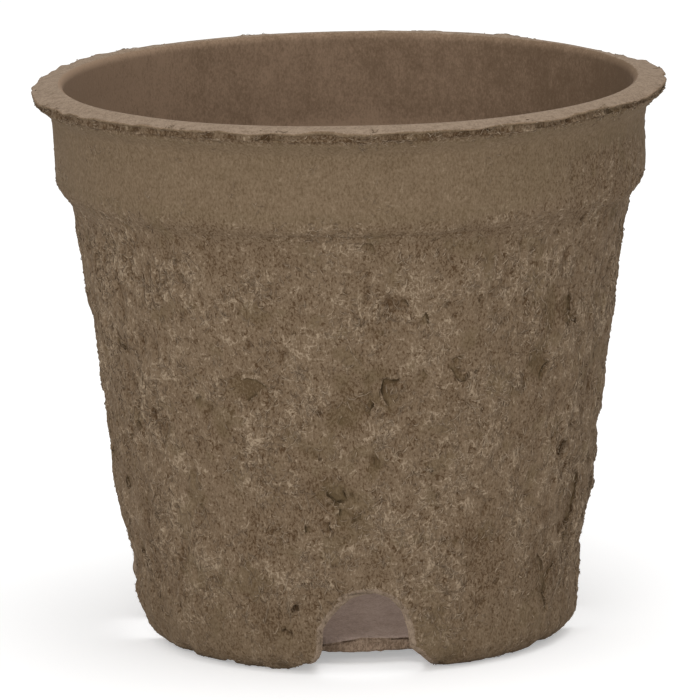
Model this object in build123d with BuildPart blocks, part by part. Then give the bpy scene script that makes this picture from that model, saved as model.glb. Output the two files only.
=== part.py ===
from build123d import *
import os

# A plant pot moulded from peat fibre as one felted layer: an out-turned lip, a plain collar,
# a soft shoulder, a tapered side wall and a raised floor. Drain arches cut through the wall
# and divide the foot ring into four heels.
# Millimetres. The pot stands on z = 0 about the Z axis, and its front drain arch faces -Y.

# Overall size
pot_height = 132.0
rim_diameter = 150.0
foot_diameter = 104.4  # the side wall's slope carried down to the ground
wall_thickness = 2.8  # measured level, the same from lip to heel

# Lip
lip_overhang = 4.6  # from the collar out to the lip's edge
lip_fall = 1.0  # from the crest down to the top of the edge
lip_edge_height = 2.4
lip_edge_round = 1.0
lip_flare_height = 3.7  # from the edge's lower corner down to the collar
lip_flare_round = 3.0
lip_root_height = 1.6  # straight run below the flare
crest_width = 2.8  # level top, next to the inside
crest_ease = 3.0  # eases the crest into the sloping top
mouth_round = 2.0  # inner corner of the mouth

# Collar and shoulder
collar_depth = 21.4  # from the crest down to the collar's lower edge
collar_taper = 0.6  # radius lost down the collar
shoulder_height = 7.3
shoulder_step = 3.8  # radius lost down the shoulder

# Heel, foot ring and floor
heel_height = 10.0
heel_round = 7.0
foot_ring_width = 12.2  # from the foot's outside in to the floor panel
foot_thickness = 2.8
foot_corner_round = 0.8
floor_rise = 3.0  # the floor's underside above the ground
floor_thickness = 3.2
riser_run = 2.0  # level run of the slope from the foot ring up to the floor
groove_lip = 1.0  # level rim of the floor before the groove above the foot ring

# Drain arches
arch_width = 21.0
arch_height = 20.0
arch_toe_round = 3.0
punch_clearance = 2.0  # how far the punch passes below the ground

# The heels, each with the direction in degrees where it starts, going round from +X to +Y
heel_starts = {
    "heel_front_right": -90.0,
    "heel_back_right": 0.0,
    "heel_back_left": 90.0,
    "heel_front_left": 180.0,
}
heel_span = 360.0 / len(heel_starts)

# Heights of the lines where one zone meets the next
lip_bottom = pot_height - lip_fall - lip_edge_height - lip_flare_height - lip_root_height
collar_bottom = pot_height - collar_depth
shoulder_bottom = collar_bottom - shoulder_height

# Outer radii on those lines
rim_radius = rim_diameter / 2
collar_top_radius = rim_radius - lip_overhang
collar_bottom_radius = collar_top_radius - collar_taper
wall_top_radius = collar_bottom_radius - shoulder_step
foot_radius = foot_diameter / 2
wall_lean = (wall_top_radius - foot_radius) / shoulder_bottom  # radius gained per height
heel_top_radius = foot_radius + wall_lean * heel_height
floor_radius = foot_radius - foot_ring_width
floor_top = floor_rise + floor_thickness


# Rolled lip, highest at the crest and falling towards its edge
edge_top = pot_height - lip_fall
edge_bottom = edge_top - lip_edge_height
flare_bottom = edge_bottom - lip_flare_height
mouth_radius = collar_top_radius - wall_thickness

with BuildPart() as rim_lip:
    with BuildSketch(Plane.XZ):
        with BuildLine():
            FilletPolyline(
                (mouth_radius, lip_bottom),
                (collar_top_radius, lip_bottom),
                (collar_top_radius, flare_bottom),
                (rim_radius, edge_bottom),
                (rim_radius, edge_top),
                (mouth_radius + crest_width, pot_height),
                (mouth_radius, pot_height),
                radius=[0, 0, lip_flare_round, lip_edge_round, lip_edge_round, crest_ease, mouth_round],
                close=True,
            )
        make_face()
    revolve(axis=Axis.Z)
rim_lip.part.label = "rim_lip"


# Plain collar under the lip, with a slight draft
with BuildPart() as collar:
    with BuildSketch(Plane.XZ):
        with BuildLine():
            Polyline(
                (collar_top_radius - wall_thickness, lip_bottom),
                (collar_top_radius, lip_bottom),
                (collar_bottom_radius, collar_bottom),
                (collar_bottom_radius - wall_thickness, collar_bottom),
                close=True,
            )
        make_face()
    revolve(axis=Axis.Z)
collar.part.label = "collar"


# Soft shoulder: the same S curve outside and inside
collar_direction = (-collar_taper, collar_bottom - lip_bottom)
wall_direction = (-wall_lean, -1)

with BuildPart() as shoulder:
    with BuildSketch(Plane.XZ):
        with BuildLine():
            outside = Spline(
                (collar_bottom_radius, collar_bottom),
                (wall_top_radius, shoulder_bottom),
                tangents=(collar_direction, wall_direction),
            )
            inside = Spline(
                (collar_bottom_radius - wall_thickness, collar_bottom),
                (wall_top_radius - wall_thickness, shoulder_bottom),
                tangents=(collar_direction, wall_direction),
            )
            Line(outside @ 0, inside @ 0)
            Line(outside @ 1, inside @ 1)
        make_face()
    revolve(axis=Axis.Z)
shoulder.part.label = "shoulder"


# Punch for the drain arches: round head, straight sides, and toes that round off at the ground
arch_half = arch_width / 2
arch_spring = arch_height - arch_half
toe_half = arch_half + arch_toe_round
punch_reach = rim_radius

with BuildPart() as front_punch:
    with BuildSketch(Plane.XZ):
        with BuildLine():
            Line((-toe_half, -punch_clearance), (toe_half, -punch_clearance))
            Line((toe_half, -punch_clearance), (toe_half, 0))
            TangentArc((toe_half, 0), (arch_half, arch_toe_round), tangent=(-1, 0))
            Line((arch_half, arch_toe_round), (arch_half, arch_spring))
            ThreePointArc((arch_half, arch_spring), (0, arch_height), (-arch_half, arch_spring))
            Line((-arch_half, arch_spring), (-arch_half, arch_toe_round))
            TangentArc((-toe_half, 0), (-arch_half, arch_toe_round), tangent=(1, 0))
            Line((-toe_half, 0), (-toe_half, -punch_clearance))
        make_face()
    extrude(amount=punch_reach)

with BuildPart() as drain_punch:
    with PolarLocations(radius=0, count=len(heel_starts)):
        add(front_punch.part)


# Tapered side wall, notched by the heads of the arches
with BuildPart() as side_wall:
    with BuildSketch(Plane.XZ):
        with BuildLine():
            Polyline(
                (wall_top_radius - wall_thickness, shoulder_bottom),
                (wall_top_radius, shoulder_bottom),
                (heel_top_radius, heel_height),
                (heel_top_radius - wall_thickness, heel_height),
                close=True,
            )
        make_face()
    revolve(axis=Axis.Z)
    add(drain_punch.part, mode=Mode.SUBTRACT)
side_wall.part.label = "side_wall"


# Heels: the rounded corner, the foot ring that the pot stands on and the slope up to the floor
ring_inner_radius = floor_radius + riser_run
groove_radius = ring_inner_radius + groove_lip
inner_foot_radius = foot_radius - wall_thickness + wall_lean * foot_thickness
inner_heel_round = heel_round - wall_thickness

heels = []
for heel_name, start in heel_starts.items():
    with BuildPart() as heel:
        with BuildSketch(Plane.XZ.rotated((0, 0, start))):
            with BuildLine():
                FilletPolyline(
                    (heel_top_radius - wall_thickness, heel_height),
                    (heel_top_radius, heel_height),
                    (foot_radius, 0),
                    (ring_inner_radius, 0),
                    (floor_radius, floor_rise),
                    (floor_radius, floor_top),
                    (floor_radius + groove_lip, floor_top),
                    (groove_radius, foot_thickness),
                    (inner_foot_radius, foot_thickness),
                    radius=[0, 0, heel_round, foot_corner_round, 0, 0, 0, 0, inner_heel_round],
                    close=True,
                )
            make_face()
        revolve(axis=Axis.Z, revolution_arc=heel_span)
        add(drain_punch.part, mode=Mode.SUBTRACT)
    heel.part.label = heel_name
    heels.append(heel)


# Raised floor panel, bare-edged where the arches cut the foot ring away
with BuildPart() as floor:
    with BuildSketch(Plane.XY.offset(floor_rise)):
        Circle(floor_radius)
    extrude(amount=floor_thickness)
floor.part.label = "floor"


os.makedirs("parts", exist_ok=True)
for node in [rim_lip, collar, shoulder, side_wall, *heels, floor]:
    export_step(node.part, f"parts/{node.part.label}.step")
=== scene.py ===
import math

import bpy
import numpy as np
from mathutils import Matrix, Vector


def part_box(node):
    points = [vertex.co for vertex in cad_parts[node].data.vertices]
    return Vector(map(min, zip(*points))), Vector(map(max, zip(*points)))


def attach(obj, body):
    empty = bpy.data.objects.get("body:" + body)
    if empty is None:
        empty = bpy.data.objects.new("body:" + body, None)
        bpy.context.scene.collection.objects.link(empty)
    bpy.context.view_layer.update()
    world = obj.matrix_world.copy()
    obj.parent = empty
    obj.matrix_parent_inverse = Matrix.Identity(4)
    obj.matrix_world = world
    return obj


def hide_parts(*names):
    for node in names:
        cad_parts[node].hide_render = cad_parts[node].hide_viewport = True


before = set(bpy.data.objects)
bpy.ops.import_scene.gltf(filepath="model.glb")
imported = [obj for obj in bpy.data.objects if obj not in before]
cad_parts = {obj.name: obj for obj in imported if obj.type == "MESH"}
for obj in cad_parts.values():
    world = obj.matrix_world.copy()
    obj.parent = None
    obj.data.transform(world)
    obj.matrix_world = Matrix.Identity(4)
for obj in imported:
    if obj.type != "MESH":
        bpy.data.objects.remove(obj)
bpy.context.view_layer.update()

# A plant pot moulded from peat fibre: smooth inside and on top of the lip, felted outside, with a
# torn lip edge and fluffy drain arches. Lengths are millimetres, angles run round from the front
# arch (-Y) towards the right (+X), and meshes are written in metres, the unit of the frame.

MM = 0.001


# Sizes that the frame gives


def node_size(node):
    """Outer radius of a node, and the heights of its foot and its top."""
    low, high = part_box(node)
    return high[0] / MM, low[2] / MM, high[2] / MM


rim_radius, lip_foot, pot_top = node_size("rim_lip")
collar_radius, collar_foot, _ = node_size("collar")
shoulder_radius, shoulder_foot, _ = node_size("shoulder")
wall_radius, heel_top, _ = node_size("side_wall")
floor_radius, floor_under, floor_top = node_size("floor")

# Sizes that the frame's boxes do not show
layer = 2.8  # thickness of the felted layer, measured level
foot_radius = 52.2  # the wall's slope carried down to the ground
lip_fall, lip_edge, lip_flare = 1.0, 2.4, 3.7  # crest to edge, edge height, edge to collar
crest_width = 2.8
heel_round, foot_thickness = 5.6, 2.8
foot_corner = 0.8  # round of the small corners of the foot
riser_run, groove_lip = 2.0, 1.0  # from the foot ring up to the floor, and the floor's level rim
arch_half, arch_top, toe_round = 10.5, 20.0, 3.0
arch_spring = arch_top - arch_half
wall_lean = (wall_radius - foot_radius) / shoulder_foot

# Mesh resolution
quarters = 4
columns = 300  # in each quarter between two arches
skin_depth = 4  # quads across the thickness of the layer


# Seeded noise


def lattice_hash(x, y, z, seed):
    h = x * np.uint32(0x8DA6B343) + y * np.uint32(0xD8163841) + z * np.uint32(0xCB1AB31F)
    h = h + np.uint32((seed * 0x9E3779B1) & 0xFFFFFFFF)
    h = (h ^ (h >> np.uint32(15))) * np.uint32(0x85EBCA6B)
    h = (h ^ (h >> np.uint32(13))) * np.uint32(0xC2B2AE35)
    return h ^ (h >> np.uint32(16))


def hash_parts(h):
    """Three numbers from -1 to 1 out of each hash."""
    return [((h >> np.uint32(s)) & np.uint32(1023)) / 511.5 - 1 for s in (0, 10, 20)]


tilt = np.array(Matrix.Rotation(0.6, 3, "X") @ Matrix.Rotation(0.9, 3, "Y") @ Matrix.Rotation(0.4, 3, "Z"))
corners = [(x, y, z) for x in (0, 1) for y in (0, 1) for z in (0, 1)]


def noise(points, size, seed):
    """Smooth gradient noise of about -1 to 1 whose bumps are about size across."""
    p = points @ tilt / size
    cell = np.floor(p)
    f = p - cell
    cell = cell.astype(np.int64)
    fade = f * f * f * (f * (f * 6 - 15) + 10)
    total = np.zeros(points.shape[:-1])
    for corner in corners:
        h = lattice_hash(*[(cell[..., i] + d).astype(np.uint32) for i, d in enumerate(corner)], seed)
        slope = hash_parts(h)
        value = sum(slope[i] * (f[..., i] - d) for i, d in enumerate(corner))
        for i, d in enumerate(corner):
            value = value * (fade[..., i] if d else 1 - fade[..., i])
        total += value
    return total


def layered_noise(points, size, octaves, seed):
    return sum(noise(points, size / 2**k, seed + 31 * k) / 2**k for k in range(octaves))


def smoothstep(low, high, x):
    t = np.clip((x - low) / (high - low), 0, 1)
    return t * t * (3 - 2 * t)


def bell(x, middle, spread):
    """1 in the middle, and less on both sides of it."""
    return np.exp(-(((x - middle) / spread) ** 2))


def unit(vectors):
    """Vectors scaled to a length of 1."""
    return vectors / np.maximum(np.linalg.norm(vectors, axis=-1, keepdims=True), 1e-9)


def on_circle(radius, theta, height):
    return np.stack(np.broadcast_arrays(radius * np.cos(theta), radius * np.sin(theta), height), -1)


def left_of(directions):
    """Directions in a plane, turned a quarter to the left."""
    return np.stack([-directions[:, 1], directions[:, 0]], -1)


def radius_of(points):
    return np.hypot(points[..., 0], points[..., 1])


def degrees_round(points):
    """Degrees round the pot from the front arch."""
    return np.degrees(np.arctan2(points[..., 0], -points[..., 1]))


def wrapped(degrees):
    """The same directions, from -180 to 180."""
    return (degrees + 180) % 360 - 180


# Section of the layer: one line from the floor's top, up the inside, over the lip, down the outside
# and under the foot to the floor's underside


def step_lengths(line):
    return np.linalg.norm(np.diff(line, axis=0), axis=1)


def rounded(points, radii):
    """Line through points, with an arc of the given radius at each inner one."""
    points = [np.array(p, float) for p in points]
    line = [points[0]]
    for before, corner, after, radius in zip(points, points[1:], points[2:], radii):
        u, v = unit(before - corner), unit(after - corner)
        half = math.acos(np.dot(u, v)) / 2
        centre = corner + unit(u + v) * radius / math.sin(half)
        start, end = (corner + w * radius / math.tan(half) - centre for w in (u, v))
        line += [centre + radius * unit(start + (end - start) * t) for t in np.linspace(0, 1, 9)]
    return np.array(line + [points[-1]])


def s_curve(start, end, start_slope, end_slope, pull):
    t = np.linspace(0, 1, 41)[:, None]
    start, end = np.array(start), np.array(end)
    run = np.linalg.norm(end - start) * pull
    a, b = unit(np.array(start_slope)) * run, unit(np.array(end_slope)) * run
    return start + (end - start) * smoothstep(0, 1, t) + a * t * (1 - t) ** 2 - b * t * t * (1 - t)


def resample(line, steps):
    line = np.array(line, float)
    length = np.r_[0, np.cumsum(step_lengths(line))]
    at = np.linspace(0, length[-1], steps + 1)
    return np.stack([np.interp(at, length, line[:, i]) for i in (0, 1)], -1)


def wall_at(z, inset=0.0):
    return (foot_radius + wall_lean * z - inset, z)


edge_top = pot_top - lip_fall
edge_foot = edge_top - lip_edge
flare_foot = edge_foot - lip_flare
mouth_radius = collar_radius - layer
ring_inner = floor_radius + riser_run
groove_radius = ring_inner + groove_lip

wall_down = (-wall_lean, -1.0)
collar_down = (shoulder_radius - collar_radius, collar_foot - lip_foot)

heel_inside = rounded(
    [
        (floor_radius, floor_top),
        (floor_radius + groove_lip, floor_top),
        (groove_radius, foot_thickness),
        wall_at(foot_thickness, layer),
        wall_at(heel_top, layer),
    ],
    [foot_corner, foot_corner, heel_round - layer],
)
heel_outside = rounded(
    [wall_at(heel_top), (foot_radius, 0), (ring_inner, 0), (floor_radius, floor_under)],
    [heel_round, foot_corner],
)
skin_edge = 0.8  # the lip's pressed top skin, which overhangs the torn edge
torn_back = 0.8
lip_line = rounded(
    [
        (mouth_radius, lip_foot),
        (mouth_radius, pot_top),
        (mouth_radius + crest_width, pot_top),
        (rim_radius, edge_top),
        (rim_radius - torn_back, edge_top - skin_edge),
        (rim_radius - torn_back / 2, edge_foot),
        (collar_radius, flare_foot),
        (collar_radius, lip_foot),
    ],
    [1.8, 2.0, 0.25, 0.3, 0.5, 2.6],
)
shoulder_line = s_curve(
    (shoulder_radius, collar_foot), (wall_radius, shoulder_foot), collar_down, wall_down, 1.25
)
arch_heights = arch_top - (arch_top - heel_top) * np.linspace(0, 1, 25) ** 1.5  # closest at the head
inset = np.array([layer, 0])

# Stretches of the section: how felted each is, from 0 where the former pressed it smooth to 1 where it
# is loose fibre, and its line
stretches = {
    "heel_in": (0.2, resample(heel_inside, 44)),
    "arch_in": (0.1, np.array([wall_at(z, layer) for z in arch_heights[::-1]])),
    "wall_in": (0.08, resample([wall_at(arch_top, layer), wall_at(shoulder_foot, layer)], 20)),
    "shoulder_in": (0.08, resample(shoulder_line[::-1] - inset, 10)),
    "collar_in": (0.08, resample([(shoulder_radius - layer, collar_foot), (mouth_radius, lip_foot)], 9)),
    "lip": (0.08, resample(lip_line, 78)),
    "collar_out": (0.34, resample([(collar_radius, lip_foot), (shoulder_radius, collar_foot)], 30)),
    "shoulder_out": (0.62, resample(shoulder_line, 22)),
    "wall_out": (1.0, resample([wall_at(shoulder_foot), wall_at(arch_top)], 240)),
    "arch_out": (1.0, np.array([wall_at(z) for z in arch_heights])),
    "heel_out": (0.9, resample(heel_outside, 44)),
}

rows_of, path, felt = {}, [heel_inside[0]], [0.0]
for stretch_name, (amount, stretch_line) in stretches.items():
    rows_of[stretch_name] = slice(len(path) - 1, len(path) + len(stretch_line) - 1)
    path.extend(stretch_line[1:])
    felt = felt[:-1] + [amount] * len(stretch_line)  # the row that two stretches share takes the later one's
path, felt = np.array(path), np.array(felt)

facing = left_of(unit(np.gradient(path, axis=0)))  # outward, as (radial, up)


def soften(values, rows=3.0):
    """Blurs a value along the rows of the section."""
    reach = 10
    kernel = np.exp(-0.5 * (np.arange(-reach, reach + 1) / rows) ** 2)
    return np.convolve(np.pad(values * 1.0, reach, mode="edge"), kernel / kernel.sum(), mode="valid")


# Rows of the lip, whose torn edge is felted too
lip, number = rows_of["lip"], np.arange(len(path))
on_lip = (number >= lip.start) & (number < lip.stop)
lip_crest, skin_row = lip.start + np.argmax(path[lip, 1]), lip.start + np.argmax(path[lip, 0])
outside = number > lip_crest
below_skin = number > skin_row + 1  # the top skin ends at its row furthest out
on_edge = on_lip & below_skin & (path[:, 1] > edge_foot - 0.8)
felt[on_lip & below_skin] = 0.34
felt[on_edge] = 0.8
felt = soften(felt)
torn = soften(on_edge, 1.2)
skin_rim = soften(np.abs(number - skin_row) < 5, 1.0)
pressed_top = soften(on_lip & ~below_skin & (facing[:, 1] > 0.9), 1.6)
section = np.column_stack([path, facing, felt, outside, torn, skin_rim, pressed_top])


# Drain arches


# Outline of the front arch, which is torn out of true: height and half width of each flank
front_left = [(0, 13), (3, 11.2), (6, 10.6), (11, 10.3), (13.3, 9)]
front_left += [(16.8, 6.1), (18.8, 3.6), (19.6, 1), (20, -1.9)]
front_right = [(0, 15.6), (1.6, 14.4), (3.1, 13.3), (4.8, 11.9), (6.2, 10.3)]
front_right += [(10.3, 9.9), (15.4, 8.4), (18.8, 5.4), (20, 1.9)]


def arch_width_at(z, arch, side):
    """Half width of an arch at a height; side is -1 for its left flank, 1 for its right."""
    if arch == 0:
        return np.interp(z, *np.array(front_right if side > 0 else front_left).T)
    head = np.sqrt(np.clip(arch_half**2 - (z - arch_spring) ** 2, 0, None))
    flare = arch_half + toe_round - np.sqrt(np.clip(toe_round**2 - (toe_round - z) ** 2, 0, None))
    width = np.where(z > arch_spring, head, np.where(z < toe_round, flare, arch_half))
    return np.where(z >= arch_top, 0, width)


def arch_distance(points):
    """Distance along the wall from the nearest drain arch."""
    z = points[..., 2]
    far, step = 99.0, 0.2
    nearest = np.full(z.shape, far)
    for arch in range(quarters):
        along = np.radians(90 * arch - 90)
        across = points[..., 1] * math.cos(along) - points[..., 0] * math.sin(along)
        ahead = points[..., 0] * math.cos(along) + points[..., 1] * math.sin(along)
        head = np.where(z > arch_spring, np.hypot(across, z - arch_spring) - arch_half, -far)
        flanks = []
        for side in (-1, 1):
            below, width, above = (arch_width_at(z + s, arch, side) for s in (-step, 0, step))
            flanks.append((across * side - width) / np.hypot(1, (above - below) / (2 * step)))
        apart = np.where(z < arch_top, np.maximum(head, np.maximum(*flanks)), head)
        nearest = np.where(ahead > 0.5 * radius_of(points), np.minimum(nearest, apart), nearest)
    return nearest


# Relief of the felted skin

# Pits seen on the front: degrees from the front arch, height, width, length, depth, any tilt
pits = [
    (3.2, 102.4, 1.4, 1.2, 0.6),
    (14.7, 105.6, 1.0, 1.2, 1.0),
    (5.2, 90.8, 2.0, 2.6, 0.4),
    (17.3, 89.2, 1.6, 1.4, 0.4),
    (21.1, 89.1, 1.4, 1.8, 0.4),
    (34.0, 88.1, 1.2, 0.9, 0.5),
    (-2.0, 71.8, 1.4, 1.2, 0.4),
    (0.6, 72.2, 0.8, 2.0, 0.5),
    (2.5, 65.6, 1.2, 1.0, 0.8),
    (4.2, 63.4, 1.5, 1.8, 0.6),
    (2.7, 52.5, 1.3, 2.2, 0.8, 30),
    (-17.6, 62.2, 1.2, 0.9, 0.5, -30),
    (-8.8, 41.9, 0.9, 0.8, 0.6),
    (-3.0, 44.6, 1.0, 1.2, 0.6),
    (-15.3, 34.4, 0.9, 0.9, 0.6),
    (28.9, 38.4, 1.4, 1.8, 0.5),
    (27.8, 62.9, 1.4, 1.6, 0.5),
    (40.9, 72.1, 1.6, 1.6, 0.6),
    (47.4, 84.5, 2.2, 1.4, 0.5),
    (61.1, 85.0, 1.6, 1.4, 0.6),
    (65.1, 62.4, 2.4, 4.0, 0.5, 15),
    (65.2, 25.2, 2.0, 1.4, 1.4),
    (69.5, 24.3, 1.8, 1.2, 0.8),
    (-38.4, 71.6, 0.8, 0.8, 0.5),
    (-58.1, 67.0, 1.2, 1.6, 0.9),
    (-57.5, 78.3, 1.2, 2.4, 0.6),
    (-76.2, 81.0, 1.8, 3.4, 0.9),
    (-71.9, 26.6, 1.8, 2.2, 0.8),
    (-64.7, 120.1, 1.2, 0.9, 0.9),
    (46.9, 3.2, 1.6, 1.2, 0.8),
    (34.6, 3.3, 1.6, 1.2, 0.8),
    (-18.1, 16.2, 1.2, 1.0, 2.6),
    (-20.7, 10.5, 0.9, 0.8, 2.2),
    (-19.4, 10.2, 1.1, 0.9, 2.2),
]

# Shallow upright flutes on both sides of every drain arch, written like the pits
pits += [(90 * arch + side, 20, 5, 32, 0.35) for arch in range(quarters) for side in (-27, 27)]

# Patches on the front where the loose felt has come away: degrees, height, width, length, any tilt
bare_patches = [
    (3.8, 69.5, 9, 13),
    (-3.8, 64.1, 9, 8, 20),
    (-26.4, 69.4, 10, 8),
    (-6.9, 44.6, 10, 7),
    (-4.4, 36.5, 9, 6),
    (5.9, 90.3, 7, 5),
    (41.9, 71.7, 7, 9),
    (44.1, 84.6, 6, 13),
    (2.5, 53.0, 4, 5),
    (-31.4, 59.0, 6, 5),
    (-22.6, 87.1, 7, 5),
]

# Tears seen on the front: depth, and places along the line in degrees from the front arch and height.
# The felt is sunk on the left of each line and turned up on its right.
tears = [
    (1.1, [(7.9, 70.7), (7.7, 72.3), (4.0, 72.4), (3.5, 70.9), (3.6, 68.5), (4.5, 66.5), (5.8, 64.7)]),
    (0.5, [(18.0, 75.9), (18.8, 73.9), (20.0, 71.6), (21.0, 70.5), (22.7, 70.4), (23.6, 71.7), (23.7, 74.1)]),
    (0.4, [(22.1, 77.2), (20.0, 76.8), (18.5, 76.1)]),
    (0.7, [(2.2, 102.2), (2.5, 103.9), (1.9, 105.2), (0.8, 105.8), (-0.4, 105.0), (-0.8, 103.8)]),
    (1.0, [(-9.6, 46.1), (-9.0, 43.9), (-6.8, 42.0), (-4.9, 42.4), (-4.0, 43.6), (-4.7, 45.1), (-5.5, 46.6)]),
    (0.9, [(1.4, 63.2), (1.6, 64.9), (2.4, 65.6), (2.1, 66.6), (1.2, 67.6)]),
    (0.5, [(-21.8, 68.8), (-21.3, 70.0), (-22.3, 71.1), (-24.1, 72.2), (-25.9, 72.4), (-28.4, 71.2)]),
    (0.8, [(-26.4, 66.0), (-25.6, 66.8), (-24.6, 67.5), (-23.7, 67.9)]),
    (0.6, [(-6.1, 41.2), (-6.4, 39.7), (-6.0, 38.5)]),
    (0.5, [(-3.2, 37.2), (-1.8, 38.2), (-0.8, 38.9), (-0.6, 40.6)]),
    (0.6, [(-4.9, 63.8), (-5.6, 62.6), (-6.0, 61.4)]),
    (0.7, [(14.0, 84.7), (14.0, 86.1), (13.7, 87.4), (13.0, 88.2)]),
    (0.6, [(9.8, 89.1), (9.5, 90.3), (8.8, 91.3), (8.1, 92.1)]),
    (0.5, [(14.5, 72.4), (13.7, 73.2), (13.0, 74.4)]),
    (0.6, [(-7.8, 35.3), (-8.1, 36.8), (-8.1, 38.2)]),
    (0.6, [(-14.3, 37.1), (-14.6, 35.9), (-14.5, 34.9)]),
    (2.2, [(53.1, 46.6), (54.5, 48.0), (55.6, 49.5), (56.1, 51.3)]),
    (0.9, [(55.7, 26.5), (60.7, 29.6), (63.8, 31.6), (63.5, 33.7), (64.8, 36.8), (64.5, 39.8), (63.0, 43.6)]),
    (1.2, [(51.0, 8.7), (53.5, 9.9), (53.5, 12.1), (52.1, 14.4), (52.6, 16.5), (53.2, 18.4), (58.3, 22.0)]),
    (0.6, [(51.2, 19.2), (50.9, 22.2), (47.8, 25.1)]),
    (0.8, [(49.9, 79.0), (51.9, 80.5), (53.3, 79.5), (54.7, 80.7)]),
    (0.8, [(51.8, 81.3), (50.9, 84.8), (50.7, 88.2)]),
    (0.9, [(43.7, 67.3), (44.1, 69.1), (44.9, 70.5), (46.7, 71.8)]),
    (0.7, [(-65.9, 76.5), (-64.3, 75.1), (-62.7, 74.2), (-61.4, 74.2), (-60.5, 76.0)]),
    (1.0, [(-73.3, 41.3), (-72.5, 39.8), (-71.8, 38.2)]),
    (0.8, [(-61.3, 57.4), (-60.8, 56.0), (-60.2, 54.9)]),
    (0.8, [(-66.4, 52.9), (-65.6, 51.9), (-64.9, 51.0)]),
    (0.9, [(-71.7, 23.9), (-70.1, 22.8), (-67.9, 21.7)]),
]


def scatter_tears(count, degrees, sizes, spans, depths, seed):
    """Curved tears at random, in a range of degrees round the pot, added to those seen."""
    heights = 24, 101
    scatter = np.random.default_rng(seed)
    for _ in range(count):
        at, height, size = (scatter.uniform(*limits) for limits in (degrees, heights, sizes))
        turn = scatter.uniform(0, 2 * math.pi) + scatter.uniform(*spans) * np.linspace(0, 1, 6)
        reach = size * scatter.uniform(0.75, 1.25, 6)
        across = np.degrees(reach * np.cos(turn) / wall_at(height)[0])
        tears.append((scatter.uniform(*depths), np.stack([at + across, height + reach * np.sin(turn)], 1)))


scatter_tears(70, (-72, 72), (0.6, 1.8), (0.9, 2.0), (0.15, 0.4), 5)  # small ones on the front
scatter_tears(110, (72, 288), (1.0, 3.4), (1.0, 3.6), (0.3, 0.8), 6)  # all sizes on the sides and back


def mark(points, at, height, wide, tall, tilt_degrees=0):
    """1 inside an oval mark on the wall, falling off round its edge."""
    across = np.radians(wrapped(degrees_round(points) - at)) * radius_of(points)
    up = points[..., 2] - height
    c, s = math.cos(math.radians(tilt_degrees)), math.sin(math.radians(tilt_degrees))
    u, v = (across * c + up * s) / wide * 2, (up * c - across * s) / tall * 2
    return np.exp(-((u * u + v * v) ** 2) * 0.7)


def pit_relief(points):
    deep = 4  # column of the depth
    return -sum(pit[deep] * mark(points, *pit[:deep], *pit[deep + 1 :]) for pit in pits)


def bare_at(points):
    """How bare (up to 1) the wall is in the patches."""
    return np.max([mark(points, *place) for place in bare_patches], axis=0)


def frayed(points):
    """Moves points about by a little noise, so that marks read at them have frayed edges."""
    wobble = [layered_noise(points, 1.7, 2, seed) for seed in (91, 92, 93)]
    return points + 1.1 * np.stack(wobble, -1)


def crinkles(points, size, seed):
    """Noise with sharp ridges, about 0 on average and 0.6 on the ridges."""
    return 0.6 - 2.4 * np.abs(noise(points, size, seed))


def laid_flat(line):
    """The middle of a tear, and its line in millimetres across and up from there."""
    line = np.array(line)
    at, height = line.mean(0)
    across = np.radians(line[:, 0] - at) * wall_at(height)[0]
    return at, height, np.stack([across, line[:, 1] - height], 1)


def from_line(x, y, line):
    """Distance of points from a bent line, positive on its left, and their share of its length."""
    nearest = np.full(x.shape, np.inf)
    signed, along = np.zeros(x.shape), np.zeros(x.shape)
    lengths = step_lengths(line)
    done = np.cumsum(lengths) - lengths
    for start, end, length, before in zip(line, line[1:], lengths, done):
        u, v = (end - start) / length
        t = np.clip((x - start[0]) * u + (y - start[1]) * v, 0, length)
        dx, dy = x - start[0] - t * u, y - start[1] - t * v
        apart = np.hypot(dx, dy)
        closer = apart < nearest
        nearest = np.where(closer, apart, nearest)
        signed = np.where(closer, np.copysign(apart, u * dy - v * dx), signed)
        along = np.where(closer, (before + t) / lengths.sum(), along)
    return signed, along


def tear_ends(along):
    return smoothstep(0, 0.22, along) * smoothstep(1, 0.78, along)


def tear_relief(points):
    """Height that tears add to the felt, and how sunk (up to 1) the felt is beside them."""
    height, sunk = np.zeros(points.shape[:-1]), np.zeros(points.shape[:-1])
    turn = degrees_round(points)
    margin, facet_reach, step_half = 7.0, 2.8, 0.25
    for deep, line in tears:
        at, middle, flat = laid_flat(line)
        across = np.radians(wrapped(turn - at)) * wall_at(middle)[0]
        up = points[..., 2] - middle
        wide, tall = np.abs(flat).max(0) + margin
        near = (np.abs(across) < wide) & (np.abs(up) < tall)
        if not near.any():
            continue
        left, along = from_line(across[near], up[near], flat)
        amount = deep * tear_ends(along)
        uneven = smoothstep(-0.3, 0.3, noise(points[near], 2.2, 82))
        facet = smoothstep(-step_half, step_half, left) * np.exp(-np.maximum(left, 0) / facet_reach)
        crack, turned_up = bell(left, 0.2, 0.3) * uneven, bell(left, -0.5, 0.4) * uneven
        height[near] += amount * (0.4 * turned_up - 0.6 * facet - 0.9 * crack)
        sunk[near] = np.maximum(sunk[near], np.clip(2 * amount, 0, 1) * facet)
    return height, sunk


def fuzz_at(points):
    """Where the felt is loose and pale (1) and where it lies close (0)."""
    return smoothstep(-0.12, 0.3, noise(points, 13, 71) + 0.45 * noise(points, 5, 72))


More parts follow.
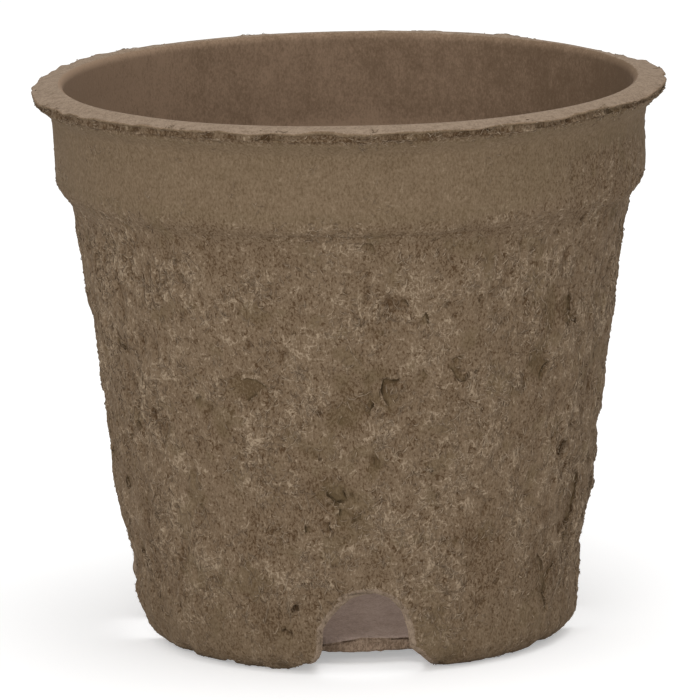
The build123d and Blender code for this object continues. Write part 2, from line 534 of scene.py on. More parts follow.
def felt_relief(points, fuzz):
    """Height of the felted skin above its moulded form: its lumps, all that is smaller, and where
    it is sunk beside tears."""
    turn = degrees_round(points)
    rougher = 0.5 * smoothstep(35, 60, np.abs(turn)) + 0.4 * bell(turn, -62, 24)
    rougher = 1 + rougher * smoothstep(104, 96, points[..., 2])
    lumps = rougher * (0.5 * noise(points, 17, 11) + 0.55 * noise(points, 7.5, 13)) - 0.3
    marked = frayed(points)
    upright, streaky = points * [1, 1, 0.55], points * [1, 1, 0.35]
    curls = 0.22 * layered_noise(upright, 2.8, 2, 12)
    curls = curls + (0.18 + 0.25 * fuzz) * crinkles(marked * [1, 1, 0.7], 4.2, 17)
    curls = rougher * (curls + (0.14 + 0.2 * fuzz) * crinkles(streaky, 2.0, 18))
    ragged = noise(points, 11, 15) * 3.4 + 0.5 * layered_noise(points, 2.4, 2, 16)
    torn_step = ragged - np.floor(ragged)
    sheets = 0.22 * (smoothstep(0, 0.16, torn_step) - torn_step) * smoothstep(1.0, 0.3, fuzz)
    deep = smoothstep(0.42, 0.58, noise(points, 3.0, 21) + 0.3 * noise(points, 20, 22))
    crease_height = 106.7  # of the level crease over the front of the shoulder
    crease = smoothstep(34, 14, np.abs(turn - 2))
    level = points[..., 2] - crease_height - 0.8 * noise(points, 9, 23)
    crease = 0.4 * crease * bell(level, 0, 0.5)
    torn_height, sunk = tear_relief(points + 0.45 * (marked - points))
    bare = bare_at(points + 1.5 * (marked - points))
    sunk = np.maximum(sunk, 0.6 * bare)
    fine = (curls + sheets - 0.5 * deep) * (1 - 0.75 * sunk) - crease + torn_height - 0.2 * bare
    return lumps, fine + 0.8 * pit_relief(marked), sunk


# Where the wall stands out or, below zero, in: millimetres, the middle and the spread in degrees from
# the front arch, and pairs of heights from the first of which it sets in, up to the second
dents = [
    (-1.9, -92, 24, (13, 4)),
    (0.8, 88, 30, (96, 104), (122, 112)),
    (-1.4, -62, 16, (9, 2)),
    (0.8, 62, 34, (14, 6)),
    (-0.45, -88, 26, (46, 60), (104, 98)),
    (-0.8, 66, 20, (5, 1)),
]


def out_of_round(turn, theta, z, overhang):
    """How far the pot stands out of a true circle, or in if negative."""
    off = 0.5 * noise(on_circle(30, theta, 0.3 * z), 22, 37)
    for amount, degrees, spread, *heights in dents:
        for set_in in heights:
            amount = amount * smoothstep(*set_in, z)
        off = off + amount * bell(turn, degrees, spread)
    waist = 1.2 * bell(turn, 92, 30) + 1.3 * bell(turn, -92, 30)
    off = off - waist * bell(z, 21, 6) + 0.7 * bell(turn, -92, 24) * bell(z, 11, 3.5)
    return off + overhang * (0.7 * bell(turn, 90, 20) + 0.5 * bell(turn, -86, 16))


def lip_rise(turn, radial, z, overhang):
    """How far the collar and the wavy lip stand above their moulded form."""
    wave = 0.6 * noise(radial * 30, 15, 36) - 0.8 * bell(turn, 124, 18) + 0.4 * bell(turn, 152, 14)
    wave = wave - bell(turn, -82, 24) + 0.2 * bell(turn, -128, 26)
    thinner = 0.5 + 0.5 * bell(turn, 50, 40) + 0.8 * bell(turn, -86, 16)
    thinner = thinner * smoothstep(edge_top - skin_edge, edge_foot - 1, z)
    return smoothstep(collar_foot, lip_foot + 3, z) + overhang * (wave + thinner)


def felted(rows, theta):
    """Points of the layer and what its surface is like, at rows of the section and angles."""
    r, z, n_r, n_z, soft, skin, rag, rim, top = np.moveaxis(rows, -1, 0)
    radial, base, out = on_circle(1, theta, 0), on_circle(r, theta, z), on_circle(n_r, theta, n_z)
    turn = degrees_round(base)
    rough_collar = bell(turn, 60, 20) * smoothstep(100, 106, z) * smoothstep(124, 118, z) * skin
    soft = soft * (1 + 1.2 * rough_collar) * (1 - 0.3 * smoothstep(32, 14, z) * skin)
    fuzz = fuzz_at(base)
    lumps, fine, sunk = felt_relief(base, fuzz)
    fuzz = fuzz * (1 - sunk) - 0.6 * sunk
    apart = arch_distance(base)
    low = z < arch_top + 6  # rows that an arch can reach
    edge_ease = np.clip(1 - apart / 1.6, 0, 1) ** 2 * low
    pressed = 1 - 0.8 * smoothstep(-0.5, -0.95, n_z) * skin * low  # the pot stands on this face
    move = 0.2 * noise(base, 24, 31) + soft * skin * (lumps + fine) - edge_ease * (0.5 + 0.4 * skin)
    move = move * pressed
    drawn_out = base * [0.4, 0.4, 1]  # makes shreds that lie along the lip
    shreds = 0.6 * layered_noise(drawn_out, 1.9, 3, 33) + 0.4 * noise(base, 3, 32) - 0.3
    along_rim = base * [1, 1, 0.3]  # draws nicks out upright
    nicks = 0.8 * layered_noise(along_rim, 6, 2, 34)
    nicks = nicks - 0.8 * smoothstep(0.25, 0.5, noise(along_rim, 8, 35))
    points = base + out * (move + rag * shreds)[..., None] + radial * (rim * nicks * 0.7)[..., None]
    points[..., 2] += rim * (0.4 * noise(along_rim, 4, 38) + 0.8 * layered_noise(along_rim, 9, 2, 39))
    overhang = smoothstep(mouth_radius, rim_radius, r) * (z > flare_foot - 2)
    points[..., 2] += lip_rise(turn, radial, z, overhang)
    points += radial * out_of_round(turn, theta, z, overhang)[..., None]
    lifted = 0.3 * np.exp(-np.clip(apart, 0, None) / 4) + 0.7 * bell(turn, -14, 5)
    lifted = lifted + 0.9 * smoothstep(-0.05, 0.4, layered_noise(base, 5, 3, 61))  # ragged foot
    points[..., 2] += lifted * smoothstep(6, 0, z)
    points[..., 2] = np.maximum(points[..., 2], 0)

    # What the material reads at each point
    # Painted light on the lip's flare, which faces down under the torn edge: the pale fact turns it towards
    # the crown colour
    flare_painted_light = 0.3 * skin * smoothstep(edge_foot + 0.5, edge_foot - 1, z)
    flare_painted_light = flare_painted_light * smoothstep(collar_radius, collar_radius + 3, r)
    darkening = 0.045 * smoothstep(60, 5, z) + 0.16 * rough_collar  # darker towards the foot
    darkening = darkening + 0.4 * noise(base * [1, 1, 0.45], 6, 62) * smoothstep(48, 22, z)  # upright streaks
    closer = 0.07 * smoothstep(45, 20, z) * skin  # the felt lies closer there
    # Painted light on the inside, carried in the fuzz fact: lighter on the left and below the shoulder, with
    # painted shade on the right
    inside_painted_light = 0.7 * bell(turn, -100, 34) - 0.4 * bell(turn, 100, 40) + 0.75 * smoothstep(114, 106, z)
    facts = np.stack(
        np.broadcast_arrays(
            np.maximum(soft, rag * 0.9) - closer,
            # relief: height of the fine felt, which the material turns into painted light on raised felt and
            # painted shade in hollows, cracks and creases
            soft * skin * fine + rag * 1.1 * shreds - darkening * skin,
            np.clip(0.9 * smoothstep(2.2, 0.5, apart) * low + top + flare_painted_light, 0, 1),
            np.where(skin > 0, fuzz * soft, inside_painted_light),
        ),
        -1,
    )
    return points, facts


def shell(first, last=None):
    """The layer on some stretches of the section: points, normals and facts, over
    [row, quarter, column]. One more row and column all round gives seams the same normals."""
    start, stop = rows_of[first].start, rows_of[last or first].stop
    low, high = max(start - 1, 0), min(stop + 1, len(path))
    rows = section[low:high]
    quarter = np.radians(90)

    def cut_angles(ahead, side):
        """Angles from the middle of an arch to its edge, at the start or the end of each quarter."""
        widths = [arch_width_at(rows[:, 1], (q + ahead) % quarters, side) for q in range(quarters)]
        return np.arcsin(np.stack(widths, 1) / rows[:, :1])[..., None]

    starts, ends = cut_angles(0, 1), cut_angles(1, -1)
    t = np.arange(-1, columns + 2) / columns
    theta = (np.arange(quarters) * quarter - quarter)[:, None] + starts + t * (quarter - starts - ends)
    points, facts = felted(rows[:, None, None, :], theta)
    normals = unit(np.cross(np.gradient(points, axis=0), np.gradient(points, axis=2)))
    everything = np.concatenate([points, normals, facts], -1)
    return everything[start - low : stop - low, :, 1:-1]


# Meshes

# relief also paints shade into the hollows and light onto the raised felt; fuzz also carries painted light on
# the inside
fact_names = ("felt", "relief", "pale", "fuzz")
PLACE, NORMAL, FELT = slice(3), slice(3, 6), 6  # columns of a grid, whose facts start with felt


def weld(points):
    """For each point, the first of those that lie within a micron of it."""
    microns, bits = 1000, 21  # in a millimetre, and for each coordinate
    x, y, z = (np.round(points * microns).astype(np.int64) + (1 << (bits - 1))).T
    key = (x << (2 * bits)) | (y << bits) | z
    _, first, where = np.unique(key, return_index=True, return_inverse=True)
    return first, where.reshape(-1)


class Patchwork:
    """Gathers grids of points, with their normals and facts, into one closed mesh."""

    def __init__(self):
        self.data, self.quads, self.size = [], [], 0

    def grid(self, data, flip=False):
        rows, cols = data.shape[:2]
        index = self.size + np.arange(rows * cols).reshape(rows, cols)
        loop = [index[:-1, :-1], index[1:, :-1], index[1:, 1:], index[:-1, 1:]]
        self.quads.append(np.stack(loop[::-1] if flip else loop, -1).reshape(-1, 4))
        self.data.append(data.reshape(rows * cols, -1))
        self.size += rows * cols

    def build(self, name, material, slot, *nodes):
        data = np.concatenate(self.data)
        first, where = weld(data[:, PLACE])
        data, quads = data[first], where[np.concatenate(self.quads)]
        order = np.sort(quads, axis=1)
        whole = (np.diff(order, axis=1) > 0).all(1)
        faces = quads[whole].tolist()
        for quad in quads[~whole].tolist():
            triangle = list(dict.fromkeys(quad))
            if len(triangle) == 3:
                faces.append(triangle)
        place, normals, facts = data[:, PLACE], data[:, NORMAL], data[:, FELT:]
        add_piece(name, place, faces, material, nodes, normals, facts)


def add_object(name, data):
    thing = bpy.data.objects.new(name, data)
    bpy.context.scene.collection.objects.link(thing)
    return thing


def add_piece(name, points, faces, material, nodes=(), normals=None, facts=None, names=fact_names):
    mesh = bpy.data.meshes.new(name)
    mesh.from_pydata((points * MM).tolist(), [], faces)
    for k, fact in enumerate(names):
        mesh.attributes.new(fact, "FLOAT", "POINT").data.foreach_set("value", facts[:, k].astype(np.float32))
    mesh.shade_smooth()
    if normals is not None:
        mesh.normals_split_custom_set_from_vertices(normals.tolist())
    mesh.materials.append(material)
    piece = add_object(name, mesh)
    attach(piece, "root")
    if nodes:
        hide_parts(*nodes)


def between(start, end, normal=None):
    """Grid that fills the gap from one row of points to another, a torn surface."""
    t = np.linspace(0, 1, skin_depth + 1)[:, None, None]
    face = start + (end - start) * t
    face[1:-1, :, FELT] = 1.0
    if normal is not None:
        face[1:-1, :, NORMAL] = normal
    return face


def add_skin(work, skin):
    for q in range(skin.shape[1]):
        work.grid(skin[:, q])


def add_zone(work, outer, inner, under=(0, 0, -1)):
    """Both skins of a zone of the layer, and the faces where it meets the zones above and below."""
    add_skin(work, outer)
    add_skin(work, inner)
    for q in range(outer.shape[1]):
        work.grid(between(outer[0, q], inner[-1, q], (0, 0, 1)), flip=True)
        work.grid(between(outer[-1, q], inner[0, q], under))


def cut(work, outer, inner, q):
    """The torn faces at both ends of a quarter, where drain arches cut the layer."""
    for column, flip in ((0, False), (-1, True)):
        face = between(outer[:, q, column], inner[::-1, q, column])
        place = face[..., PLACE]
        away = unit(np.cross(place[-1] - place[0], np.gradient(place[0], axis=0))) * (-1 if flip else 1)
        face[1:-1, :, NORMAL] = away
        bulge = np.sin(np.linspace(0, math.pi, skin_depth + 1))[:, None]
        fray = 0.35 * layered_noise(place, 2.2, 2, 41) + 0.1
        fray[:, 0] = fray[:, -1] = 0
        face[..., PLACE] += away * (bulge * fray)[..., None]
        work.grid(face, flip)


def build_lip(material):
    work, skin = Patchwork(), shell("lip")
    add_skin(work, skin)
    for q in range(quarters):
        work.grid(between(skin[-1, q], skin[0, q], (0, 0, -1)))
    work.build("peat_rim_lip", material, "pressed_fibre", "rim_lip")


def build_ring(zone, material):
    work, outer, inner = Patchwork(), shell(zone + "_out"), shell(zone + "_in")
    add_zone(work, outer, inner)
    work.build("peat_" + zone, material, "felted_fibre", zone)


def build_wall(material):
    work = Patchwork()
    outer, inner = shell("wall_out", "arch_out"), shell("arch_in", "wall_in")
    add_zone(work, outer, inner)
    arch_steps = len(arch_heights)
    for q in range(quarters):
        cut(work, outer[-arch_steps:], inner[:arch_steps], q)
    work.build("peat_side_wall", material, "felted_fibre", "side_wall")


def build_heels(material):
    outer, inner = shell("heel_out"), shell("heel_in")
    names = ("heel_front_right", "heel_back_right", "heel_back_left", "heel_front_left")
    for q, name in enumerate(names):
        work = Patchwork()
        inward = -outer[-1, q, :, PLACE] / floor_radius  # towards the floor
        add_zone(work, outer[:, q : q + 1], inner[:, q : q + 1], inward)
        cut(work, outer, inner, q)
        work.build("peat_" + name, material, "felted_fibre", name)


def floor_edge():
    """Section of the floor's edge: a thin top skin, a ragged undercut and a torn edge below it."""
    skin, undercut = 0.5, 0.7
    line = [(-0.5, 0), (0, -0.25), (0, -skin)]
    line += [(-undercut, -skin - 0.15), (-undercut, -skin - 0.3), (-0.1, -skin - 0.5)]
    line = [(floor_radius + x, floor_top + y) for x, y in line]
    return resample(line + [(floor_radius, floor_under + 0.5), (floor_radius - 0.6, floor_under)], 36)


def build_floor(material):
    """Floor panel with a smooth top, bare-edged where the arches show it."""
    edge = floor_edge()
    top = resample([(0, floor_top), edge[0]], 50)
    under = resample([edge[-1], (0, floor_under)], 30)
    line = np.concatenate([top[:-1], edge, under[1:]])
    theta = np.radians(np.linspace(0, 360, 721))
    r, z = line[:, :1], line[:, 1:]
    base, radial = on_circle(r, theta, z), on_circle(1 + 0 * r, theta, 0)
    row = np.arange(len(line))[:, None]
    above_foot = smoothstep(len(line) - 20, len(line) - 30, row)
    on_edge = smoothstep(len(top) + 3, len(top) + 8, row) * above_foot
    ragged = 0.5 * layered_noise(base, 2.6, 3, 52) - 0.25
    points = base + radial * (on_edge * ragged)[..., None]
    rim = smoothstep(len(top) - 1, len(top) + 4, row) * above_foot
    round_edge = radial * 40  # noise read there is the same all the way down the edge
    wavy = 0.7 * layered_noise(round_edge, 6, 3, 53)
    sagging = 1.1 * smoothstep(-3, -9, base[..., 0]) * (base[..., 1] < -30)  # left of the front arch
    points[..., 2] += rim * (wavy - sagging) * smoothstep(floor_under, floor_under + 1.5, z)
    gap = (r < floor_radius - 0.3) & (row > len(top)) & (z > floor_under + 0.5)
    closed = smoothstep(-0.05, 0.2, noise(round_edge, 3.2, 55)) * gap
    points += radial * (closed * (floor_radius - r))[..., None]
    lower = smoothstep(len(top) + 16, len(top) + 34, row)
    lower = lower * smoothstep(floor_radius - 5, floor_radius - 1, r)
    points[..., 2] -= lower * (0.45 - 0.5 * layered_noise(round_edge, 2.6, 2, 54))
    uneven = 0.25 * noise(base * [1, 1, 0], 18, 51)
    points[..., 2] += uneven * smoothstep(floor_radius - 1, floor_radius - 6, r)
    normals = np.cross(np.gradient(points, axis=0), np.gradient(points, axis=1))
    normals[:, 0] = normals[:, -1] = normals[:, 0] + normals[:, -1]
    normals[0], normals[-1] = (0, 0, 1), (0, 0, -1)
    # The relief fact of the torn edge paints light where it bulges and shade where it sinks
    facts = np.stack([0.08 + 0.8 * on_edge + 0 * theta, on_edge * ragged, 0 * ragged, 0 * ragged], -1)
    work = Patchwork()
    work.grid(np.concatenate([points, unit(normals), facts], -1))
    work.build("peat_floor", material, "pressed_fibre", "floor")


# Loose fibres that stand a little off the felt


def fibre_tubes(centre, out, width):
    """Three-sided tubes along rows of points, thinning to a point at both ends."""
    strands, joints = centre.shape[:2]
    sides = 3
    t = np.linspace(0, 1, joints)
    forward = unit(np.gradient(centre, axis=1))
    side = unit(np.cross(forward, out))
    over = np.cross(side, forward)
    radius = width[:, None] / 2 * np.maximum(np.sin(np.pi * (0.08 + 0.84 * t)), 0.2)
    angle = np.arange(sides) * 2 * math.pi / sides
    ring = side[:, :, None] * np.cos(angle)[:, None] + over[:, :, None] * np.sin(angle)[:, None]
    points = centre[:, :, None] + ring * radius[..., None, None]
    index = np.arange(strands * joints * sides).reshape(strands, joints, sides)
    around = np.roll(index, -1, axis=2)
    quads = np.stack([index[:, :-1], around[:, :-1], around[:, 1:], index[:, 1:]], -1).reshape(-1, 4)
    caps = np.concatenate([index[:, 0, ::-1], index[:, -1]])
    return points.reshape(-1, 3), quads.tolist() + caps.tolist()


def section_at(row):
    """Section at fractional rows."""
    low = np.clip(np.floor(row).astype(int), 0, len(section) - 2)
    part = (row - low)[..., None]
    return section[low] * (1 - part) + section[low + 1] * part


def on_mould(line, theta):
    """Points of the moulded form, which has no felt on it."""
    return on_circle(line[..., 0], theta, line[..., 1])


def outward(line, theta):
    return unit(on_circle(line[..., 2], theta, line[..., 3]))


def build_fibres(name, first, last, count, lengths, widths, lift, wanted, heading, material, rng):
    """Short curled strands in tufts on the felt. wanted gives each spot's share of them, and heading
    the middle and the spread of their direction, in degrees from level."""
    joints, tuft, tuft_spread, curl = 4, 5, 1.2, 1.2
    start, stop = rows_of[first].start, rows_of[last].stop - 1
    tries = count * 3  # many spots are not wanted
    row = rng.uniform(start, stop, tries)
    theta = rng.uniform(0, 2 * math.pi, tries)
    line = section_at(row)
    share = wanted(on_mould(line, theta))
    chosen = np.flatnonzero(rng.uniform(0, 1, tries) < share)[: count // tuft].repeat(tuft)
    row, theta, line, count = row[chosen], theta[chosen], line[chosen], len(chosen)
    here = row.astype(int)
    spacing = np.linalg.norm(section[np.minimum(here + 1, stop), :2] - section[here, :2], axis=1)
    spacing = np.maximum(spacing, 0.05)
    row = np.clip(row + rng.normal(0, tuft_spread, count) / spacing, start, stop)
    theta = theta + rng.normal(0, tuft_spread, count) / line[:, 0]
    t = np.linspace(0, 1, joints)
    middle, spread = heading
    turn = np.radians(rng.uniform(middle - spread, middle + spread, count))
    turn = turn[:, None] + rng.normal(0, curl, count)[:, None] * t
    step = rng.uniform(*lengths, count)[:, None] / (joints - 1)
    across, along = (np.cumsum(f(turn) * step, 1) - f(turn[:, :1]) * step for f in (np.cos, np.sin))
    rows = np.clip(row[:, None] + along / spacing[:, None], start, stop)
    angles = theta[:, None] + across / line[:, :1]
    there = section_at(rows)
    whole = (arch_distance(on_mould(there, angles)) > 0.05).all(1)  # none may hang in an opening
    there, angles, count = there[whole], angles[whole], int(whole.sum())
    centre, _ = felted(there, angles)
    out = outward(there, angles)
    raised = 0.04 + np.sin(np.pi * t) * rng.uniform(0, lift, count)[:, None]
    points, faces = fibre_tubes(centre + out * raised[..., None], out, rng.uniform(*widths, count))
    shade = np.repeat(rng.uniform(0, 1, count), len(points) // count)[:, None]
    add_piece(name, points, faces, material, facts=shade, names=("shade",))


def on_loose_felt(spot):
    return (0.25 + 0.75 * fuzz_at(spot)) * (arch_distance(spot) > 1.0)


def beside_tears(spot):
    return (tear_relief(spot)[0] > 0.04) * (arch_distance(spot) > 1.0)


def round_arches(spot):
    apart = arch_distance(spot)
    return (apart > 0.1) * smoothstep(1.3, 0.3, apart)


def under_the_skin(spot):
    """The torn edge of the lip, below its pressed top skin."""
    z = spot[:, 2]
    return (radius_of(spot) > collar_radius + 0.3) * (z < edge_top - 0.3) * (z > edge_foot - 0.8)


# Columns of a flap, in millimetres from the line of its tear, and the one on the ridge
across_flap = np.array([-1.0, -0.75, -0.5, -0.3, -0.1, 0.1, 0.25])
flap_ridge = 3


def flap_on(k, deep, line):
    """Rows of the section, angles and lifts of a flap along one tear."""
    spacing, deepest = 0.3, 0.8
    outer = slice(rows_of["shoulder_out"].start, rows_of["arch_out"].stop)
    heights, numbers = path[outer, 1][::-1], np.arange(outer.start, outer.stop)[::-1]
    at, height, flat = laid_flat(line)
    run = resample(flat, max(6, int(step_lengths(flat).sum() / spacing)))
    apart = np.column_stack([run, np.full(len(run), 5.1 * k)])  # no two tears share their noise
    run = run + 0.3 * np.stack([layered_noise(apart, 1.3, 2, seed) for seed in (84, 85)], 1)
    left = left_of(unit(np.gradient(run, axis=0)))
    edge = 1 + 0.9 * layered_noise(apart, 1.4, 2, 83)[:, None]
    ends = tear_ends(np.linspace(0, 1, len(run))) * smoothstep(-0.2, 0.3, noise(apart, 2.4, 86))
    ends = ends[:, None]
    spread = np.where(across_flap > 0, across_flap * edge, across_flap) * (0.3 + 0.7 * ends)
    place = run[:, None] + left[:, None] * spread[..., None]
    rows = np.interp(height + place[..., 1], heights, numbers)
    angles = math.radians(at - 90) + place[..., 0] / wall_at(height)[0]
    stand = smoothstep(across_flap[0], across_flap[-1], across_flap) * min(deep, deepest) * 0.28
    return rows, angles, ends * stand - 0.1 * (1 - ends)


def flap_faces(counts):
    """Faces of thin sheets with an upper and a lower side and a rim, each with a count of rows."""
    faces, first = [], 0
    index = np.arange(2 * sum(counts) * len(across_flap)).reshape(2, -1, len(across_flap))
    for count in counts:
        upper, lower = index[:, first : first + count]
        for sheet, order in ((upper, 1), (lower, -1)):
            loop = [sheet[:-1, :-1], sheet[:-1, 1:], sheet[1:, 1:], sheet[1:, :-1]]
            faces += np.stack(loop[::order], -1).reshape(-1, 4).tolist()
        rim = [np.r_[part[:-1, 0], part[-1, :-1], part[:0:-1, -1], part[0, :0:-1]] for part in (upper, lower)]
        after = [np.roll(part, -1) for part in rim]
        faces += np.stack([rim[0], after[0], after[1], rim[1]], -1).tolist()
        first += count
    return faces


def build_flaps(material):
    """Thin shreds of felt that stand up along the right of the tears and overhang them."""
    thickness = 0.16
    flaps = [flap_on(k, deep, line) for k, (deep, line) in enumerate(tears)]
    rows, theta, lift = (np.concatenate(values) for values in zip(*flaps))
    line = section_at(rows)
    surface, facts = felted(line, theta)
    moulded, out = on_mould(line, theta), outward(line, theta)
    relief = surface - moulded
    relief[:, flap_ridge + 1 :] = relief[:, flap_ridge : flap_ridge + 1]
    top = moulded + relief + out * lift[..., None]
    points = np.concatenate([top.reshape(-1, 3), (top - out * thickness).reshape(-1, 3)])
    # Painted light along the raised edge of each flap, through the relief fact
    facts[..., fact_names.index("relief")] = 0.05 + 0.3 * smoothstep(-0.6, 0.2, across_flap)
    facts[..., fact_names.index("fuzz")] = 0.5
    facts = np.concatenate([facts.reshape(-1, len(fact_names))] * 2)
    faces = flap_faces([len(rows) for rows, _, _ in flaps])
    add_piece("torn_flaps", points, faces, material, facts=facts)


# Materials


def linear(screen_colour):
    """Linear colour from screen values of 0 to 255."""
    values = [c / 255 for c in screen_colour]
    return tuple(c / 12.92 if c <= 0.04045 else ((c + 0.055) / 1.055) ** 2.4 for c in values) + (1.0,)


class Shader:
    """Short names for the nodes that materials and the world are made of."""

    FIRST_COLOUR, SECOND_COLOUR, MIXED_COLOUR = 6, 7, 2  # sockets of the Mix node

    def __init__(self, owner, surface="Principled BSDF"):
        owner.use_nodes = True
        self.nodes, self.links = owner.node_tree.nodes, owner.node_tree.links
        self.surface = self.nodes[surface]
        self.place = self.add("TexCoord", {}, "Object")

    def feed(self, node, inputs):
        """Gives sockets of a node a value or a link."""
        for socket, value in inputs.items():
            if isinstance(value, bpy.types.NodeSocket):
                self.links.new(value, node.inputs[socket])
            else:
                node.inputs[socket].default_value = value

    def add(self, kind, inputs, output=0, **settings):
        node = self.nodes.new("ShaderNode" + kind)
        for setting, value in settings.items():
            setattr(node, setting, value)
        self.feed(node, inputs)
        return node.outputs[output]

    def math(self, operation, *values):
        return self.add("Math", dict(enumerate(values)), operation=operation)

    def weighted(self, *terms):
        """Sum of values, each times its weight."""
        total = 0.0
        for value, weight in terms:
            total = self.math("MULTIPLY_ADD", value, weight, total)
        return total

    def stretched(self, stretch, turn):
        angles = [math.radians(a) for a in turn]
        return self.add("Mapping", {"Vector": self.place, "Rotation": angles, "Scale": stretch})

    def noise(self, size, detail=2.0, roughness=0.5, distortion=0.0, place=None):
        inputs = {"Vector": place or self.place, "Scale": 1 / (size * MM), "Detail": detail}
        return self.add("TexNoise", {**inputs, "Roughness": roughness, "Distortion": distortion}, "Fac")

    def ramp(self, value, low, high, start=0.0, end=1.0, kind="SMOOTHSTEP"):
        limits = {"From Min": low, "From Max": high, "To Min": start, "To Max": end}
        return self.add("MapRange", {"Value": value, **limits}, interpolation_type=kind)

    def fact(self, name):
        return self.add("Attribute", {}, "Fac", attribute_name=name)

    def mix(self, factor, *colours):
        """Mix of two colours, which are screen values or sockets."""
        first, second = (linear(c) if isinstance(c, tuple) else c for c in colours)
        inputs = {"Factor": factor, self.FIRST_COLOUR: first, self.SECOND_COLOUR: second}
        return self.add("Mix", inputs, self.MIXED_COLOUR, data_type="RGBA")

    def threads(self, size, width, stretch, turn):
        """Thin curved lines, where a stretched noise crosses its middle value."""
        field = self.noise(size, 1.0, 0.4, 0.8, self.stretched(stretch, turn))
        gap = self.math("ABSOLUTE", self.math("SUBTRACT", field, 0.5))
        return self.ramp(gap, 0.0, width, 1.0, 0.0)

    def bump(self, height, distance):
        return self.add("Bump", {"Distance": distance * MM, "Strength": 1.0, "Height": height})


def fibre_material(name, felt_colours, olive, plain, smooth, crown):
    """Felted peat fibre that turns smooth and paler where the former pressed it. Colours run from dark to
    light, in three steps on the felt and in two on plain, smooth and crown."""
    material = bpy.data.materials.new(name)
    look = Shader(material)
    felted_fact, relief, pale, fuzz = (look.fact(f) for f in fact_names)
    upright = look.stretched((1, 1, 0.6), (0, 0, 0))
    grain = look.noise(0.45, 2.0, 0.7, place=upright)
    speck = look.noise(1.6, 2.0, 0.6, place=upright)
    clump = look.noise(6.0, 3.0, 0.55)
    mottle = look.noise(22.0)

    def in_patches(lines, size, fuzz_weight, low, high):
        patches = look.weighted((look.noise(size, 1.0), 1.0), (fuzz, fuzz_weight))
        return look.math("MULTIPLY", lines, look.ramp(patches, low, high))

    threads = look.math(
        "MAXIMUM",
        look.threads(2.6, 0.035, (1, 1, 0.45), (20, 12, 0)),
        look.threads(2.2, 0.035, (0.5, 0.6, 1.3), (0, -25, 35)),
    )
    threads = in_patches(threads, 3.0, 0.25, 0.45, 0.7)
    creases = look.threads(2.4, 0.03, (0.8, 0.9, 0.7), (50, 30, 10))
    creases = in_patches(creases, 1.5, 0.1, 0.52, 0.62)

    # relief adds painted light on raised felt and painted shade in hollows, cracks and creases
    tone = look.weighted(
        *((grain, 2.6), (speck, 0.4), (clump, 0.2), (mottle, 0.32)),
        *((relief, 0.62), (threads, 0.6), (creases, -0.7), (fuzz, 0.11)),
    )
    dark, middle, light = felt_colours
    shade = look.mix(look.ramp(tone, 1.31, 1.98), dark, middle)
    shade = look.mix(look.ramp(tone, 1.98, 2.86), shade, light)
    shade = look.mix(look.ramp(look.noise(9.0), 0.56, 0.68, 0.0, 0.35), shade, olive)
    shade = look.mix(look.ramp(fuzz, -0.05, -0.5, 0.0, 0.5), shade, olive)
    even = look.mix(look.ramp(grain, 0.3, 0.7), *plain)
    shade = look.mix(look.ramp(felted_fact, 0.4, 0.7, 0.7, 0.0), shade, even)
    # fuzz lightens the smooth colour; on the inside it carries painted light and shade
    fine = look.weighted((grain, 0.8), (speck, 0.3), (clump, 0.35), (mottle, 0.3), (fuzz, 0.5))
    colour = look.mix(look.ramp(fine, 0.62, 1.13), *smooth)
    colour = look.mix(look.ramp(felted_fact, 0.12, 0.4), colour, shade)
    crowned = look.ramp(look.weighted((pale, 1.0), (grain, 0.5), (speck, 0.4)), 0.75, 1.1)
    top_colour = look.mix(look.ramp(look.weighted((grain, 1.0), (speck, 0.6)), 0.6, 1.0), *crown)
    colour = look.mix(crowned, colour, top_colour)

    height = look.weighted((grain, 0.6), (speck, 0.6), (threads, 0.12))
    bump = look.bump(look.math("MULTIPLY", height, look.ramp(felted_fact, 0.1, 0.8, 0.2, 1.0)), 0.5)
    matte = {"Roughness": 0.95, "Specular IOR Level": 0.15}
    look.feed(look.surface, {"Base Color": colour, "Normal": bump, **matte})
    return material


def strand_material(name, dark, light):
    material = bpy.data.materials.new(name)
    look = Shader(material)
    colour = look.mix(look.fact("shade"), dark, light)
    colour = look.mix(look.ramp(look.noise(0.8, 1.0), 0.4, 0.65, 0.0, 0.35), colour, dark)
    look.feed(look.surface, {"Base Color": colour, "Roughness": 0.9, "Specular IOR Level": 0.2})
    return material


peat = fibre_material(
    "peat_fibre",
    felt_colours=((84, 64, 44), (121, 102, 81), (162, 143, 120)),
    olive=(105, 89, 64),
    plain=((107, 90, 68), (125, 107, 85)),
    smooth=((112, 92, 73), (144, 121, 100)),
    crown=((128, 110, 92), (153, 134, 115)),
)
# The floor's fibre is pinker and paler than the walls' pressed fibre; part of its paleness is painted light
# for the light that reaches the floor only through the mouth and the arches
floor_peat_and_painted_light = fibre_material(
    "peat_floor_fibre",
    felt_colours=((124, 104, 86), (158, 136, 116), (180, 159, 138)),
    olive=(126, 108, 90),
    plain=((140, 120, 104), (166, 146, 130)),
    smooth=((140, 121, 110), (176, 156, 143)),
    crown=((146, 126, 116), (166, 146, 133)),
)
loose = strand_material("peat_loose_fibre", (110, 91, 71), (167, 148, 125))

build_lip(peat)
for zone in ("collar", "shoulder"):
    build_ring(zone, peat)
build_wall(peat)
build_heels(peat)
build_floor(floor_peat_and_painted_light)
build_flaps(peat)

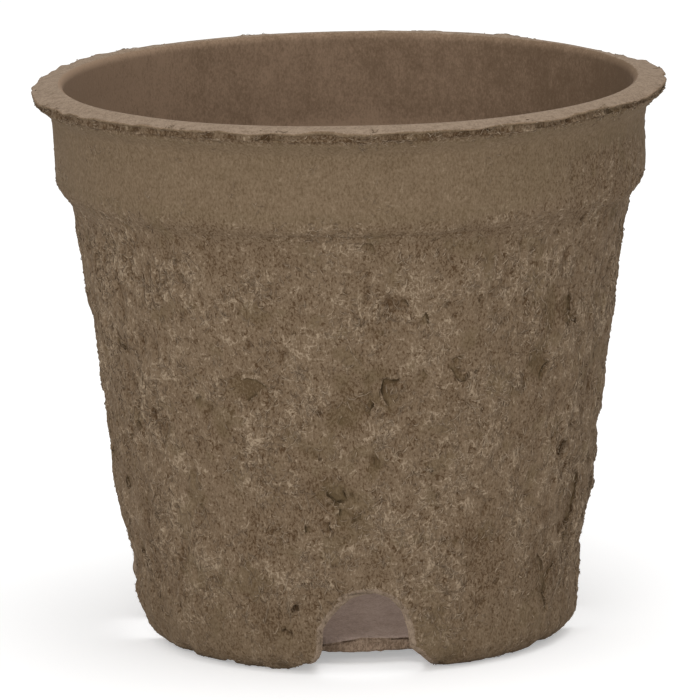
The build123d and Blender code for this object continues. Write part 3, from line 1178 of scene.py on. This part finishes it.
# Loose fibres: name, first and last stretch, count, lengths, widths, greatest lift, where they are wanted,
# and their heading
thin, upright, any_way = (0.16, 0.3), (90, 45), (0, 180)
rng = np.random.default_rng(7)
for fibres in (
    ("wall_fibres", "wall_out", "arch_out", 9900, (0.7, 2.2), (0.18, 0.36), 0.2, on_loose_felt, upright),
    ("long_fibres", "wall_out", "arch_out", 250, (2.5, 5.0), (0.18, 0.3), 0.2, on_loose_felt, (80, 60)),
    ("shoulder_fibres", "shoulder_out", "shoulder_out", 600, (0.7, 2.0), thin, 0.15, on_loose_felt, any_way),
    ("collar_fibres", "collar_out", "collar_out", 300, (0.6, 1.8), (0.12, 0.2), 0.1, on_loose_felt, any_way),
    ("heel_fibres", "heel_out", "heel_out", 900, (0.7, 2.0), thin, 0.15, on_loose_felt, upright),
    ("arch_fibres", "arch_out", "heel_out", 1500, (0.4, 1.2), thin, 0.2, round_arches, any_way),
    ("tear_fibres", "wall_out", "arch_out", 2400, (0.4, 1.4), thin, 0.3, beside_tears, any_way),
    ("lip_fibres", "lip", "lip", 900, (0.6, 2.0), thin, 0.2, under_the_skin, (0, 25)),
):
    build_fibres(*fibres, loose, rng)


# Studio: pale floor, soft light from above and the left, white background


def studio_floor():
    reach = 3.0
    square = [(-reach, -reach, 0), (reach, -reach, 0), (reach, reach, 0), (-reach, reach, 0)]
    mesh = bpy.data.meshes.new("studio_floor")
    mesh.from_pydata(square, [], [(0, 1, 2, 3)])
    ground = add_object("studio_floor", mesh)
    material = bpy.data.materials.new("studio_floor")
    look = Shader(material)
    away = look.add("VectorMath", {0: look.place}, "Value", operation="LENGTH")
    glow = look.ramp(away, 0.6, 2.6, 0.35, 0.52, "LINEAR")  # makes up for the light that far parts lack
    seen = look.math("MULTIPLY", look.add("LightPath", {}, "Is Camera Ray"), glow)
    pale = {"Base Color": (0.88, 0.88, 0.88, 1), "Roughness": 1.0, "Specular IOR Level": 0.0}
    look.feed(look.surface, {**pale, "Emission Color": (1, 1, 1, 1), "Emission Strength": seen})
    mesh.materials.append(material)


def soft_light(name, watts, size, place, aim):
    light = bpy.data.lights.new(name, "AREA")
    light.energy, light.size, light.shape = watts, size, "SQUARE"
    lamp = add_object(name, light)
    lamp.location = place
    lamp.rotation_euler = (Vector(aim) - Vector(place)).to_track_quat("-Z", "Y").to_euler()


def soft_world(strength):
    world = bpy.data.worlds.new("studio")
    bpy.context.scene.world = world
    look = Shader(world, "Background")
    rays = (look.add("LightPath", {}, ray) for ray in ("Is Camera Ray", "Is Glossy Ray"))
    level = look.ramp(look.math("MAXIMUM", *rays), 0.0, 1.0, strength, 1.0, "LINEAR")
    look.feed(look.surface, {"Color": (1, 1, 1, 1), "Strength": level})


def photo_camera():
    """Camera fitted to the outline of the pot in the photograph, a 700 by 700 pixel frame."""
    azimuth, elevation, roll = math.radians(-2.5), math.radians(11.5), math.radians(-0.93)
    distance, pixels_per_mm, frame_pixels = 1700.0, 4.187, 700
    shown_right, shown_low = 2.1, 4.2  # pixels from the middle of the frame to the pot's middle
    back = on_circle(math.cos(elevation), azimuth - math.pi / 2, math.sin(elevation))
    right = unit(np.cross([0, 0, 1], back))
    up = np.cross(back, right)
    aim = np.array([0, 0, pot_top / 2]) + (up * shown_low - right * shown_right) / pixels_per_mm
    data = bpy.data.cameras.new("camera")
    data.sensor_width = 36.0
    data.lens = pixels_per_mm * distance / frame_pixels * data.sensor_width
    camera = add_object("camera", data)
    turn = Matrix(np.stack([right, up, back], 1).tolist()) @ Matrix.Rotation(roll, 3, "Z")
    camera.matrix_world = Matrix.Translation(Vector((aim + back * distance) * MM)) @ turn.to_4x4()
    bpy.context.scene.camera = camera


studio_floor()
soft_world(0.57)
soft_light("key_light", 12.3, 1.2, (-0.5, -1.7, 0.75), (0, 0, 0.06))
soft_light("top_light", 7.5, 1.2, (0.15, -0.1, 1.4), (0, 0, 0.1))
photo_camera()
bpy.context.scene.view_settings.view_transform = "Standard"
